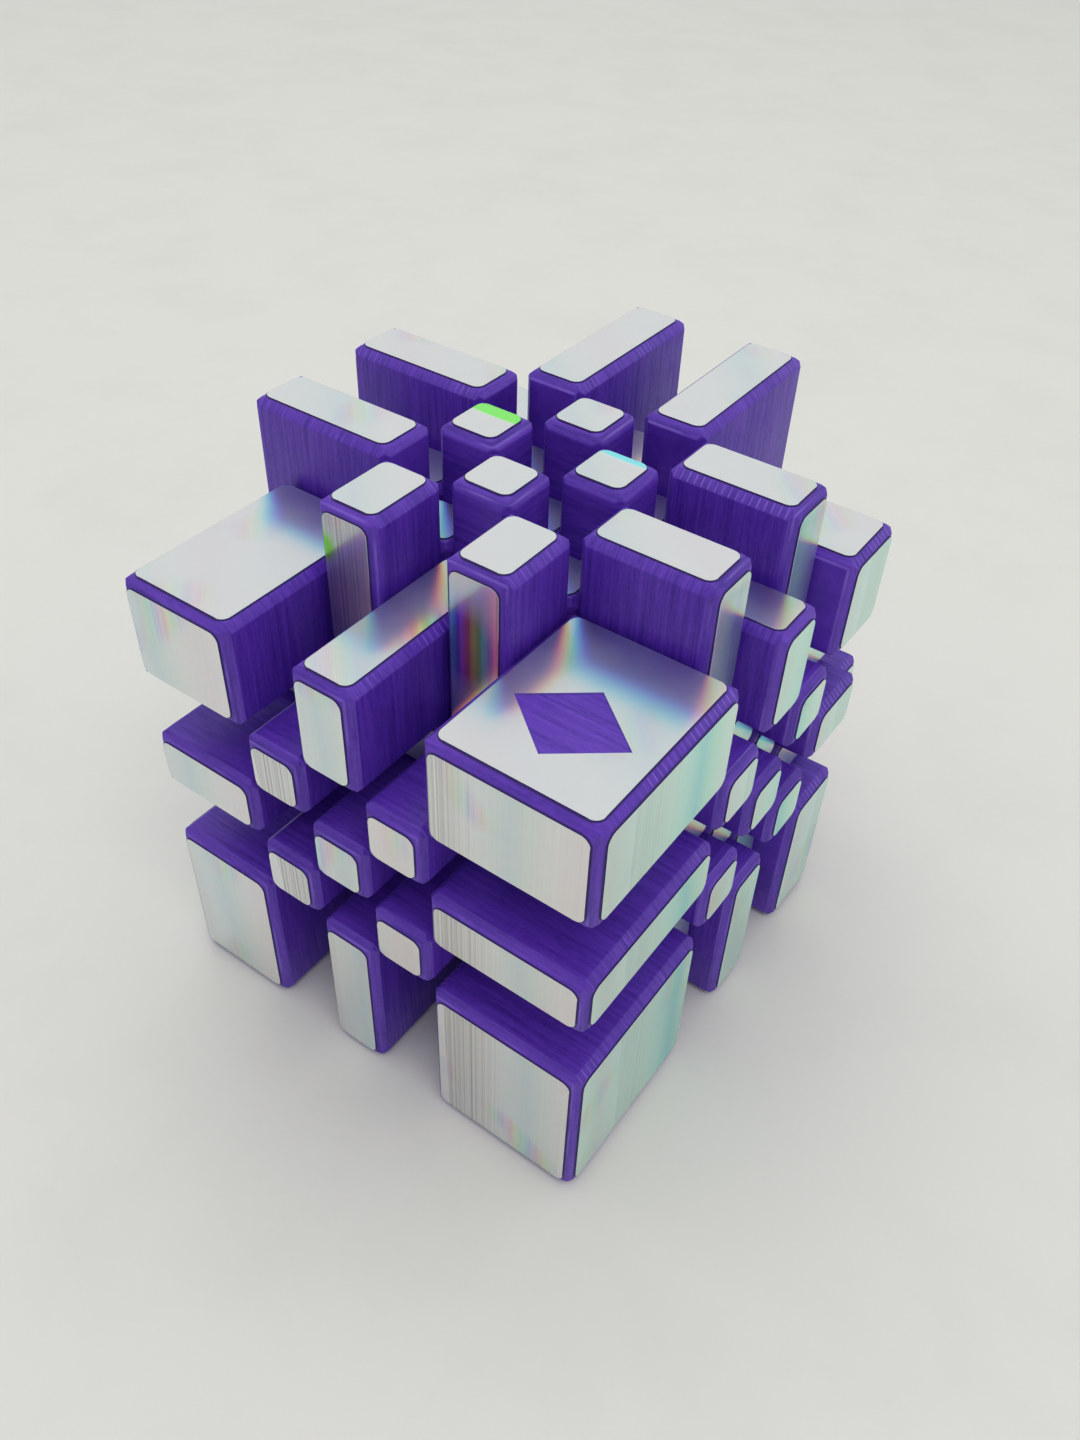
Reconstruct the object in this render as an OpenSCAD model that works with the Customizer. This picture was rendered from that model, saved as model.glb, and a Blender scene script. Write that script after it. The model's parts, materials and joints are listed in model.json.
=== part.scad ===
// Mirror block cube: a 5 x 5 x 5 twisty puzzle whose solved shape is a plain cube with an
// off-centre core, shown here in its checkerboard pattern. +Z is up, -Y is the front, and the
// origin is the centre of the core, where every turning axis meets.
//
// Cells are numbered 0 to 4 along X, Y and Z. Cell 2 is the middle slice, 1 and 3 are the
// inner slices, and 0 and 4 are the face layers, which reach out to the puzzle's faces.

/* [Grid] */
// Width of one inner slice
pitch = 12.5; // [12:0.5:13]
// Side of the solved puzzle, a plain cube
solved_side = 92; // [90:1:96]
// Distance from the solved cube's centre to the core, towards -X
core_shift_x = 3.4; // [2:0.2:5]
// Distance from the solved cube's centre to the core, towards +Y
core_shift_y = 10.4; // [9:0.2:11]
// Distance from the solved cube's centre to the core, towards +Z
core_shift_z = 6.6; // [5:0.2:8]

/* [Blocks] */
// Play between neighbouring pieces
play = 0.2; // [0.1:0.05:0.3]
// Chamfer along each block's edges
chamfer = 1.4; // [1:0.1:1.6]

/* [Stickers] */
// Thickness of the foil stickers
foil_t = 0.25; // [0.2:0.05:0.4]
// Bare border from the cut plane or the block's corner to the sticker
foil_border = 1.7; // [1.6:0.1:2.2]
// Corner radius of the stickers
foil_corner = 1.6; // [1:0.1:2]
// Length of the diamond window in one corner sticker
window_l = 20; // [8:0.5:22]
// Width of that window
window_w = 16; // [6:0.5:20]
// Distance of the window from the sticker's centre, towards the front
window_shift = 3.5; // [0:0.5:4]

/* [Mechanism] */
// Clearance between a tongue and its groove
fit = 0.2; // [0.15:0.05:0.25]
// Running clearance between a tube or a shank and its bore
running_fit = 0.08; // [0.03:0.01:0.1]
// Radius of the core's ball
core_r = 5.6; // [5:0.1:5.8]
// Outer radius of the centre tubes, which turn on the core's arms
tube_r = 4; // [3.8:0.1:4.2]
// Radius of the counterbore that holds the spring and the screw's head
pocket_r = 3; // [2.9:0.1:3.1]
// Radius of the screws' shanks
screw_r = 1.2; // [1.1:0.05:1.3]
// Radius of the screws' heads
head_r = 2.6; // [2.4:0.1:2.7]
// Wire diameter of the springs
wire_d = 0.6; // [0.5:0.05:0.7]
// Turns in each spring
spring_turns = 5; // [4:1:6]

/* [Hidden] */

$fn = 96;

violet = "#4a1f9c";
deep_violet = "#3a1880";
foil = "#d4dadb";
steel = "#b4b8bc";
black = "#26262b";

// The solved cube's faces, as distances from the core; each pair adds up to solved_side.
near_x = solved_side / 2 - core_shift_x;
far_x = solved_side / 2 + core_shift_x;
near_y = solved_side / 2 - core_shift_y;
far_y = solved_side / 2 + core_shift_y;
near_z = solved_side / 2 - core_shift_z;
far_z = solved_side / 2 + core_shift_z;

// Cut planes: between the middle and the inner slices, and between those and the face layers.
slice_plane = pitch / 2;
face_plane = 1.5 * pitch;
// Half the side of the plain 5 x 5 x 5 inside, below which blocks have sharp inner edges.
base_half = 2.5 * pitch - 0.05;
reach = solved_side;

// Hooked rings that hold the layers together: [inner radius, width, lip, depth]. Two of them
// start just outside the corner of a cut plane's square, so that no block is cut in two.
// Under each face layer, running in the blocks beside it:
rim_ring = [sqrt(2) * face_plane + fit, 3.8, 1.2, 4.2];
// Under each face's centre pieces, running in the cube inside:
face_ring = [face_plane - 8.5, 3.8, 1.4, 3];
// Under each inner layer, running in the middle slice, clear of the centre tubes:
tube_wall = 0.7;
core_ring = [sqrt(2) * slice_plane + fit, 3.2, 1.4, slice_plane - tube_r - tube_wall];

// Heights along each arm, measured from the core's centre.
arm_end = slice_plane - 0.25;
bore_floor = 1.9;
pocket_floor = 10;
washer_z = 20.2;
washer_t = 0.7;
head_t = 2;
tube_top = 24.4;
plug_l = 1.1;
arm_r = 3.1;
slot_w = 0.7;

// Pieces by how many of their three cell numbers are outermost, and how many are middle ones.
CORNER = [3, 0];
MIDGE = [2, 1];
WING = [2, 0];
T_CENTRE = [1, 1];
X_CENTRE = [1, 0];
INNER_CENTRE = [0, 2];
INNER_EDGE = [0, 1];
INNER_CORNER = [0, 0];

function is_outer(n) = n % 4 == 0 ? 1 : 0;
function is_middle(n) = n == 2 ? 1 : 0;
function kind(c) = [
    is_outer(c.x) + is_outer(c.y) + is_outer(c.z),
    is_middle(c.x) + is_middle(c.y) + is_middle(c.z)
];
// Every cell of one kind in the layer k.
function cells(k, wanted) = [
    for (i = [0:4], j = [0:4]) if (kind([i, j, k]) == wanted) [i, j, k]
];

function odd(n) = n % 2;
// In the checkerboard each piece shows its solved side (true) or its opposite one (false).
function stays(a, b) = (odd(a) + odd(b)) % 2 == 0;

// How far the cells at the two ends of each axis reach out from the core.
function reach_x(c) = (c.x == 4) == stays(c.y, c.z) ? far_x : near_x;
function reach_y(c) = (c.y == 0) == stays(c.x, c.z) ? far_y : near_y;
function reach_z(c) = (c.z == 0) == stays(c.x, c.y) ? far_z : near_z;
function reaches(c) = [reach_x(c), reach_y(c), reach_z(c)];

// Lower and upper limits of the cell n on one axis, whose outer end lies at r.
function low(n, r) = n == 0 ? -r : (n - 2.5) * pitch;
function high(n, r) = n == 4 ? r : (n - 1.5) * pitch;
function lows(c) = [for (a = [0:2]) low(c[a], reaches(c)[a])];
function highs(c) = [for (a = [0:2]) high(c[a], reaches(c)[a])];

// What a block's own limits lose: the foil's thickness outside, half the play elsewhere.
function low_trim(n) = n == 0 ? foil_t : play / 2;
function high_trim(n) = n == 4 ? foil_t : play / 2;

// A rectangle from corner a to corner b with its corners cut off at 45 degrees.
module cut_rectangle(a, b, cut) {
    polygon([
        [a.x + cut, a.y], [b.x - cut, a.y], [b.x, a.y + cut], [b.x, b.y - cut],
        [b.x - cut, b.y], [a.x + cut, b.y], [a.x, b.y - cut], [a.x, a.y + cut]
    ]);
}

// A box from corner a to corner b with all twelve edges chamfered.
module chamfered_box(a, b, cut) {
    intersection() {
        translate([0, 0, a.z])
            linear_extrude(b.z - a.z) cut_rectangle([a.x, a.y], [b.x, b.y], cut);
        translate([a.x, 0, 0]) rotate([90, 0, 90])
            linear_extrude(b.x - a.x) cut_rectangle([a.y, a.z], [b.y, b.z], cut);
        translate([0, b.y, 0]) rotate([90, 0, 0])
            linear_extrude(b.y - a.y) cut_rectangle([a.x, a.z], [b.x, b.z], cut);
    }
}

// A flat slab square to Z, wide enough for any layer.
module slab(z0, z1) {
    translate([-reach, -reach, z0]) cube([2 * reach, 2 * reach, z1 - z0]);
}

// A hooked ring below the plane z, with its lip outwards; grow widens it into its groove.
module hook_ring(ring, z, top, grow = 0) {
    inside = ring[0] - grow;
    outside = ring[0] + ring[1] + grow;
    neck = outside - ring[2];
    shoulder = -ring[3] / 2 + grow;
    bottom = -ring[3] - grow;
    translate([0, 0, z]) rotate_extrude()
        polygon([
            [inside, top], [inside, bottom], [outside, bottom],
            [outside, shoulder], [neck, shoulder], [neck, top]
        ]);
}

// The space that belongs to the layer n of the axis Z, with its tongues and grooves.
module layer_above(n) {
    if (n == 4) {
        slab(face_plane + play / 2, reach);
        hook_ring(rim_ring, face_plane, play);
        hook_ring(face_ring, face_plane, play);
    }
    if (n == 3) difference() {
        union() {
            slab(slice_plane + play / 2, face_plane - play / 2);
            hook_ring(core_ring, slice_plane, play);
        }
        hook_ring(rim_ring, face_plane, play, fit);
        hook_ring(face_ring, face_plane, play, fit);
    }
}

module layer(n) {
    if (n == 2) difference() {
        slab(-slice_plane + play / 2, slice_plane - play / 2);
        hook_ring(core_ring, slice_plane, play, fit);
        mirror([0, 0, 1]) hook_ring(core_ring, slice_plane, play, fit);
    }
    else if (n > 2) layer_above(n);
    else mirror([0, 0, 1]) layer_above(4 - n);
}

// The cell c of the grid, where its layers of the three axes meet.
module cell_space(c) {
    intersection() {
        rotate([90, 0, 90]) layer(c.x);
        rotate([-90, 0, 0]) layer(c.y);
        layer(c.z);
    }
}

// How far along one axis a piece's tongues run, so that they end before another ring's groove.
function tongue_end(n) = n % 2 == 1 ? face_plane - rim_ring[3] - 2 * fit : base_half;
function core_tongue_end(n) = n == 2 ? slice_plane - core_ring[3] - 2 * fit : face_plane;

module box_between(a, b) {
    translate(a) cube(b - a);
}

module centred_box(half) {
    box_between(-half, half);
}

// One puzzle piece: its block, chamfered beyond the plain cube inside, and its own tongues.
module piece(c) {
    a = [for (n = [0:2]) lows(c)[n] + low_trim(c[n])];
    b = [for (n = [0:2]) highs(c)[n] - high_trim(c[n])];
    intersection() {
        cell_space(c);
        union() {
            centred_box([for (n = c) tongue_end(n)]);
            box_between([for (v = a) max(v, -base_half)], [for (v = b) min(v, base_half)]);
            chamfered_box(a, b, chamfer);
        }
    }
}

// A piece of the cube inside, which has no outer face.
module inner_piece(c) {
    intersection() {
        cell_space(c);
        union() {
            centred_box([for (n = c) core_tongue_end(n)]);
            box_between(lows(c), highs(c));
        }
    }
}

module pieces(k, wanted) {
    for (c = cells(k, wanted)) piece(c);
}

module inner_pieces(k, wanted) {
    for (c = cells(k, wanted)) inner_piece(c);
}

// Turns what stands on +Z to point along one of the six arms, numbered as in ARMS.
ARMS = [[0, 0, 0], [180, 0, 0], [0, 90, 0], [0, -90, 0], [90, 0, 0], [-90, 0, 0]];
SIDE_ARMS = [2, 3, 4, 5];
TOP_ARM = 0;
BOTTOM_ARM = 1;
ARM_CELLS = [[2, 2, 4], [2, 2, 0], [4, 2, 2], [0, 2, 2], [2, 0, 2], [2, 4, 2]];

module on_arm(a) {
    rotate(ARMS[a]) children();
}

// A centre piece up to its cap: a square base on a tube that reaches down to the core's arm.
module centre_tube(a) {
    half = slice_plane - play / 2;
    on_arm(a) difference() {
        union() {
            translate([-half, -half, face_plane + play / 2])
                cube([2 * half, 2 * half, tube_top - face_plane - play / 2]);
            translate([0, 0, arm_end + play]) cylinder(r = tube_r, h = tube_top - arm_end - play);
        }
        cylinder(r = screw_r + running_fit, h = tube_top);
        translate([0, 0, pocket_floor]) cylinder(r = pocket_r, h = tube_top);
    }
}

// The block that closes a centre piece, with a round plug that fits the tube's pocket.
module centre_cap(a) {
    c = ARM_CELLS[a];
    arm_reach = max([for (axis = [0:2]) is_outer(c[axis]) * reaches(c)[axis]]);
    half = slice_plane - play / 2;
    on_arm(a) {
        chamfered_box([-half, -half, tube_top], [half, half, arm_reach - foil_t], chamfer);
        translate([0, 0, tube_top - plug_l]) cylinder(r = pocket_r - play / 2, h = plug_l + 1);
    }
}

// A centre of the cube inside, bored for the tube that turns in it.
module bored_inner_centre(c, a) {
    difference() {
        inner_piece(c);
        on_arm(a) cylinder(r = tube_r + running_fit, h = reach);
    }
}

// Core: a ball with six arms, each bored for its screw.
module core_spider() {
    color(black) difference() {
        union() {
            sphere(r = core_r);
            for (a = [0:5]) on_arm(a) cylinder(r = arm_r, h = arm_end);
        }
        for (a = [0:5]) on_arm(a) translate([0, 0, bore_floor]) cylinder(r = screw_r, h = reach);
    }
}

module screw() {
    head_z = washer_z + washer_t;
    difference() {
        union() {
            translate([0, 0, bore_floor]) cylinder(r = screw_r, h = head_z - bore_floor);
            translate([0, 0, head_z]) cylinder(r = head_r, h = head_t);
        }
        for (turn = [0, 90]) rotate(turn)
            translate([-head_r * 0.6, -slot_w / 2, head_z + head_t / 2])
                cube([head_r * 1.2, slot_w, head_t]);
    }
}

module core_screws() {
    color(steel) for (a = [0:5]) on_arm(a) screw();
}

module core_washers() {
    color(steel) for (a = [0:5]) on_arm(a) translate([0, 0, washer_z])
        difference() {
            cylinder(r = head_r, h = washer_t);
            translate([0, 0, -1]) cylinder(r = screw_r + running_fit, h = washer_t + 2);
        }
}

// A coil spring from z0 to z1 as one swept tube, with closed ends.
module spring(z0, z1) {
    steps = 12;
    sides = 5;
    rings = spring_turns * steps;
    coil_r = (screw_r + pocket_r) / 2;
    rise = (z1 - z0 - wire_d) / rings;
    points = [
        for (n = [0:rings], s = [0:sides - 1])
            let (
                turn = 360 * n / steps,
                around = 360 * s / sides,
                r = coil_r + wire_d / 2 * cos(around)
            )
            [r * cos(turn), r * sin(turn), z0 + wire_d / 2 + n * rise + wire_d / 2 * sin(around)]
    ];
    walls = [
        for (n = [0:rings - 1], s = [0:sides - 1])
            let (next = (s + 1) % sides)
            [n * sides + s, (n + 1) * sides + s, (n + 1) * sides + next, n * sides + next]
    ];
    first = [for (s = [0:sides - 1]) s];
    last = [for (s = [sides - 1:-1:0]) rings * sides + s];
    polyhedron(points, concat(walls, [first, last]), convexity = 10);
}

module core_springs() {
    color(steel) for (a = [0:5]) on_arm(a) spring(pocket_floor + 0.05, washer_z - 0.05);
}

// A rounded rectangle from corner a to corner b, with three points on each corner's arc.
module rounded_rectangle(a, b, r) {
    centres = [[b.x - r, b.y - r], [a.x + r, b.y - r], [a.x + r, a.y + r], [b.x - r, a.y + r]];
    polygon([
        for (q = [0:3], s = [0:2])
            centres[q] + r * [cos(90 * q + 45 * s), sin(90 * q + 45 * s)]
    ]);
}

// The outline of a cell's sticker on the face square to one axis, in that face's own X and Y.
module sticker_outline(c, axis, border) {
    u = (axis + 1) % 3;
    v = (axis + 2) % 3;
    rounded_rectangle(
        [lows(c)[u] + border, lows(c)[v] + border],
        [highs(c)[u] - border, highs(c)[v] - border],
        foil_corner
    );
}

// Turns a plate that lies on the plane XY so that its X, Y and Z run along u, v and the axis.
module along_axis(axis) {
    rotate(axis == 0 ? [90, 0, 90] : axis == 1 ? [-90, -90, 0] : [0, 0, 0]) children();
}

// The sticker on one outer face of the cell c.
module sticker(c, axis) {
    r = reaches(c)[axis];
    along_axis(axis) translate([0, 0, c[axis] == 4 ? r - foil_t : -r])
        linear_extrude(foil_t) sticker_outline(c, axis, foil_border);
}

// The corner at the front right of the top has a plain diamond window in its top sticker.
WINDOW_CELL = [4, 0, 4];
module window_cut() {
    centre = (lows(WINDOW_CELL) + highs(WINDOW_CELL)) / 2;
    translate([centre.x, centre.y - window_shift, 0]) linear_extrude(reach)
        polygon([[window_l / 2, 0], [0, window_w / 2], [-window_l / 2, 0], [0, -window_w / 2]]);
}

module side_stickers(k) {
    for (i = [0:4], j = [0:4]) {
        if (is_outer(i) == 1) sticker([i, j, k], 0);
        if (is_outer(j) == 1) sticker([i, j, k], 1);
    }
}

module face_stickers(k) {
    for (i = [0:4], j = [0:4]) if ([i, j, k] != WINDOW_CELL) sticker([i, j, k], 2);
}

module middle_inner_centres() {
    color(deep_violet) {
        bored_inner_centre([3, 2, 2], 2);
        bored_inner_centre([1, 2, 2], 3);
        bored_inner_centre([2, 1, 2], 4);
        bored_inner_centre([2, 3, 2], 5);
    }
}
module middle_inner_edges() { color(deep_violet) inner_pieces(2, INNER_EDGE); }
module middle_centre_tubes() { color(violet) for (a = SIDE_ARMS) centre_tube(a); }
module middle_centre_caps() { color(violet) for (a = SIDE_ARMS) centre_cap(a); }
module middle_t_centres() { color(violet) pieces(2, T_CENTRE); }
module middle_midges() { color(violet) pieces(2, MIDGE); }
module middle_stickers() { color(foil) side_stickers(2); }

module upper_inner_centre() { color(deep_violet) bored_inner_centre([2, 2, 3], TOP_ARM); }
module upper_inner_edges() { color(deep_violet) inner_pieces(3, INNER_EDGE); }
module upper_inner_corners() { color(deep_violet) inner_pieces(3, INNER_CORNER); }
module upper_t_centres() { color(violet) pieces(3, T_CENTRE); }
module upper_x_centres() { color(violet) pieces(3, X_CENTRE); }
module upper_wings() { color(violet) pieces(3, WING); }
module upper_stickers() { color(foil) side_stickers(3); }

module lower_inner_centre() { color(deep_violet) bored_inner_centre([2, 2, 1], BOTTOM_ARM); }
module lower_inner_edges() { color(deep_violet) inner_pieces(1, INNER_EDGE); }
module lower_inner_corners() { color(deep_violet) inner_pieces(1, INNER_CORNER); }
module lower_t_centres() { color(violet) pieces(1, T_CENTRE); }
module lower_x_centres() { color(violet) pieces(1, X_CENTRE); }
module lower_wings() { color(violet) pieces(1, WING); }
module lower_stickers() { color(foil) side_stickers(1); }

module top_centre_tube() { color(violet) centre_tube(TOP_ARM); }
module top_centre_cap() { color(violet) centre_cap(TOP_ARM); }
module top_t_centres() { color(violet) pieces(4, T_CENTRE); }
module top_x_centres() { color(violet) pieces(4, X_CENTRE); }
module top_midges() { color(violet) pieces(4, MIDGE); }
module top_wings() { color(violet) pieces(4, WING); }
module top_corners() { color(violet) pieces(4, CORNER); }
module top_face_stickers() {
    color(foil) {
        face_stickers(4);
        difference() {
            sticker(WINDOW_CELL, 2);
            window_cut();
        }
    }
}
module top_side_stickers() { color(foil) side_stickers(4); }

module bottom_centre_tube() { color(violet) centre_tube(BOTTOM_ARM); }
module bottom_centre_cap() { color(violet) centre_cap(BOTTOM_ARM); }
module bottom_t_centres() { color(violet) pieces(0, T_CENTRE); }
module bottom_x_centres() { color(violet) pieces(0, X_CENTRE); }
module bottom_midges() { color(violet) pieces(0, MIDGE); }
module bottom_wings() { color(violet) pieces(0, WING); }
module bottom_corners() { color(violet) pieces(0, CORNER); }
module bottom_face_stickers() { color(foil) face_stickers(0); }
module bottom_side_stickers() { color(foil) side_stickers(0); }

core_spider();
core_screws();
core_springs();
core_washers();
middle_inner_centres();
middle_inner_edges();
middle_centre_tubes();
middle_centre_caps();
middle_t_centres();
middle_midges();
middle_stickers();
upper_inner_centre();
upper_inner_edges();
upper_inner_corners();
upper_t_centres();
upper_x_centres();
upper_wings();
upper_stickers();
lower_inner_centre();
lower_inner_edges();
lower_inner_corners();
lower_t_centres();
lower_x_centres();
lower_wings();
lower_stickers();
top_centre_tube();
top_centre_cap();
top_t_centres();
top_x_centres();
top_midges();
top_wings();
top_corners();
top_face_stickers();
top_side_stickers();
bottom_centre_tube();
bottom_centre_cap();
bottom_t_centres();
bottom_x_centres();
bottom_midges();
bottom_wings();
bottom_corners();
bottom_face_stickers();
bottom_side_stickers();
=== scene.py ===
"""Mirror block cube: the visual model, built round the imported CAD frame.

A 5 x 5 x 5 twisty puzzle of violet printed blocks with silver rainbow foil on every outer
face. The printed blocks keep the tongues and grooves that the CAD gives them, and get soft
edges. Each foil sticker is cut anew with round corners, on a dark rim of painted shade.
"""

import sys
import json
import logging
import math
from contextlib import contextmanager
from dataclasses import dataclass, field
from enum import Enum
from typing import Callable, Iterator

import bmesh
import bpy
from bpy.types import Material, Node, NodeTree, Object
from bpy.types import NodeSocket as Socket
from mathutils import Color, Matrix, Vector

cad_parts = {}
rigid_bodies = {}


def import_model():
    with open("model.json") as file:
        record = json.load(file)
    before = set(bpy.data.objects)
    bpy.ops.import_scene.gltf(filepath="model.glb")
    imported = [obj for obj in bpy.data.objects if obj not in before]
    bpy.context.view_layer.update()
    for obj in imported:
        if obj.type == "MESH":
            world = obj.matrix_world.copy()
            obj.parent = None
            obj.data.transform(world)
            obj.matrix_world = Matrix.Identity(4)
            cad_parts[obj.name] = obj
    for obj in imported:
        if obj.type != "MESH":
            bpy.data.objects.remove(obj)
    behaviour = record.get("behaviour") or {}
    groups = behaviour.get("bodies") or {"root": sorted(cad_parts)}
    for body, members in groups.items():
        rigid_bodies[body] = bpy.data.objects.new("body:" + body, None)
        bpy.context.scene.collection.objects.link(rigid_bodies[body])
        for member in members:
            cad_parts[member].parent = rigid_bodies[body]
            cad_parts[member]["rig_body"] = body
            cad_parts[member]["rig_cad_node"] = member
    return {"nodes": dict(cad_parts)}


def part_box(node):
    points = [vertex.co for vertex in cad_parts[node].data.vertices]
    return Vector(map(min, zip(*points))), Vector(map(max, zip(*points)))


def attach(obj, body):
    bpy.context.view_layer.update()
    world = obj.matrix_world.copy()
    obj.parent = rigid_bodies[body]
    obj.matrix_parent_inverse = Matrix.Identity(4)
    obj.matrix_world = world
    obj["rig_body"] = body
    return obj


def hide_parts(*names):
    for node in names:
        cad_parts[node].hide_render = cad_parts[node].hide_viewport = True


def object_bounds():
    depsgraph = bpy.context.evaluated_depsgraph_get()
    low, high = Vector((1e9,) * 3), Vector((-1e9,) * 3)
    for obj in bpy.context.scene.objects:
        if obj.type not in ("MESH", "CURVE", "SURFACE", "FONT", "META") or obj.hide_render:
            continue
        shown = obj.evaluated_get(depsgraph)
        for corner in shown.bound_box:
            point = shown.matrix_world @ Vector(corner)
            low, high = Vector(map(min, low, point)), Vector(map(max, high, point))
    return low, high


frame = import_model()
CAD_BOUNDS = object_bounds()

MM = 0.001
PITCH = 12.5 * MM
LAST_CELL = 4
BASE_HALF = 2.5 * PITCH
CORNER_START = 1.5 * PITCH
WELD_DISTANCE = 0.002 * MM
FLAT_ANGLE = math.radians(0.5)
SMOOTH_ANGLE = math.radians(32)

Triple = tuple[float, float, float]
Colour = tuple[float, float, float]

WHITE = (1.0, 1.0, 1.0)
UP = (0.0, 0.0, 1.0)
FLOAT = "NodeSocketFloat"
VECTOR = "NodeSocketVector"
COLOUR = "NodeSocketColor"

log = logging.getLogger("mirror_block_cube")


class Stack(Enum):
    """The direction in which a block was printed, layer on layer."""

    ALONG_X = 0
    ALONG_Y = 1
    ALONG_Z = 2


class Slot(Enum):
    """The record's material slots, one named for each kind of new piece."""

    PRINTED = "printed_plastic"
    FOIL = "foil"
    STEEL = "steel"


# --- Work bench: selecting, editing and handing over ---


def take_up(obj: Object) -> None:
    """Deselects everything, then selects an object and makes it active.

    Args:
        obj: The object.
    """
    bpy.ops.object.select_all(action="DESELECT")
    obj.select_set(True)
    bpy.context.view_layer.objects.active = obj


@contextmanager
def editing(obj: Object, mode: str, action: str = "SELECT") -> Iterator[None]:
    """Opens a mesh in edit mode with everything or nothing selected, and closes it again.

    Args:
        obj: The mesh object to edit.
        mode: VERT, EDGE or FACE.
        action: SELECT or DESELECT.

    Returns:
        A context in which the mesh is open.
    """
    take_up(obj)
    bpy.ops.object.mode_set(mode="EDIT")
    bpy.ops.mesh.select_mode(type=mode)
    bpy.ops.mesh.select_all(action=action)
    yield
    bpy.ops.object.mode_set(mode="OBJECT")


def pick_edges(obj: Object, wanted: Callable[[bmesh.types.BMEdge], bool]) -> None:
    """Selects the edges that a test wants, in edit mode with nothing selected.

    Args:
        obj: The mesh object being edited.
        wanted: The test of one edge.
    """
    mesh = bmesh.from_edit_mesh(obj.data)
    for edge in [edge for edge in mesh.edges if wanted(edge)]:
        edge.select_set(True)
    bmesh.update_edit_mesh(obj.data)


def copy_of_node(node: str, name: str) -> Object:
    """Copies a CAD node as a new piece with merged points and whole flat faces.

    Args:
        node: The CAD node's name.
        name: The new piece's name.

    Returns:
        The new piece.
    """
    take_up(frame["nodes"][node])
    bpy.ops.object.duplicate(linked=False)
    piece = bpy.context.active_object
    piece.parent = None
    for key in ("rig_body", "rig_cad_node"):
        del piece[key]
    piece.name = piece.data.name = name
    piece.data.materials.clear()
    bpy.ops.mesh.customdata_custom_splitnormals_clear()
    with editing(piece, "VERT"):
        bpy.ops.mesh.remove_doubles(threshold=WELD_DISTANCE)
        bpy.ops.mesh.dissolve_limited(angle_limit=FLAT_ANGLE)
    return piece


def hand_over(piece: Object, body: str, slot: Slot, *nodes: str) -> None:
    """Smooths a finished piece, ties it to its body and hides the CAD nodes that it stands for.

    Args:
        piece: The finished piece.
        body: The CAD body that it rides on.
        slot: The record's slot for its finish. It is not used.
        nodes: The CAD nodes that it stands for.
    """
    take_up(piece)
    bpy.ops.object.shade_smooth_by_angle(angle=SMOOTH_ANGLE)
    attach(piece, body)
    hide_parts(*nodes)
    triangles = sum(len(face.vertices) - 2 for face in piece.data.polygons)
    log.info("%s: %d triangles, rides on %s", piece.name, triangles, body)


# --- Shader nodes ---


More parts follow.
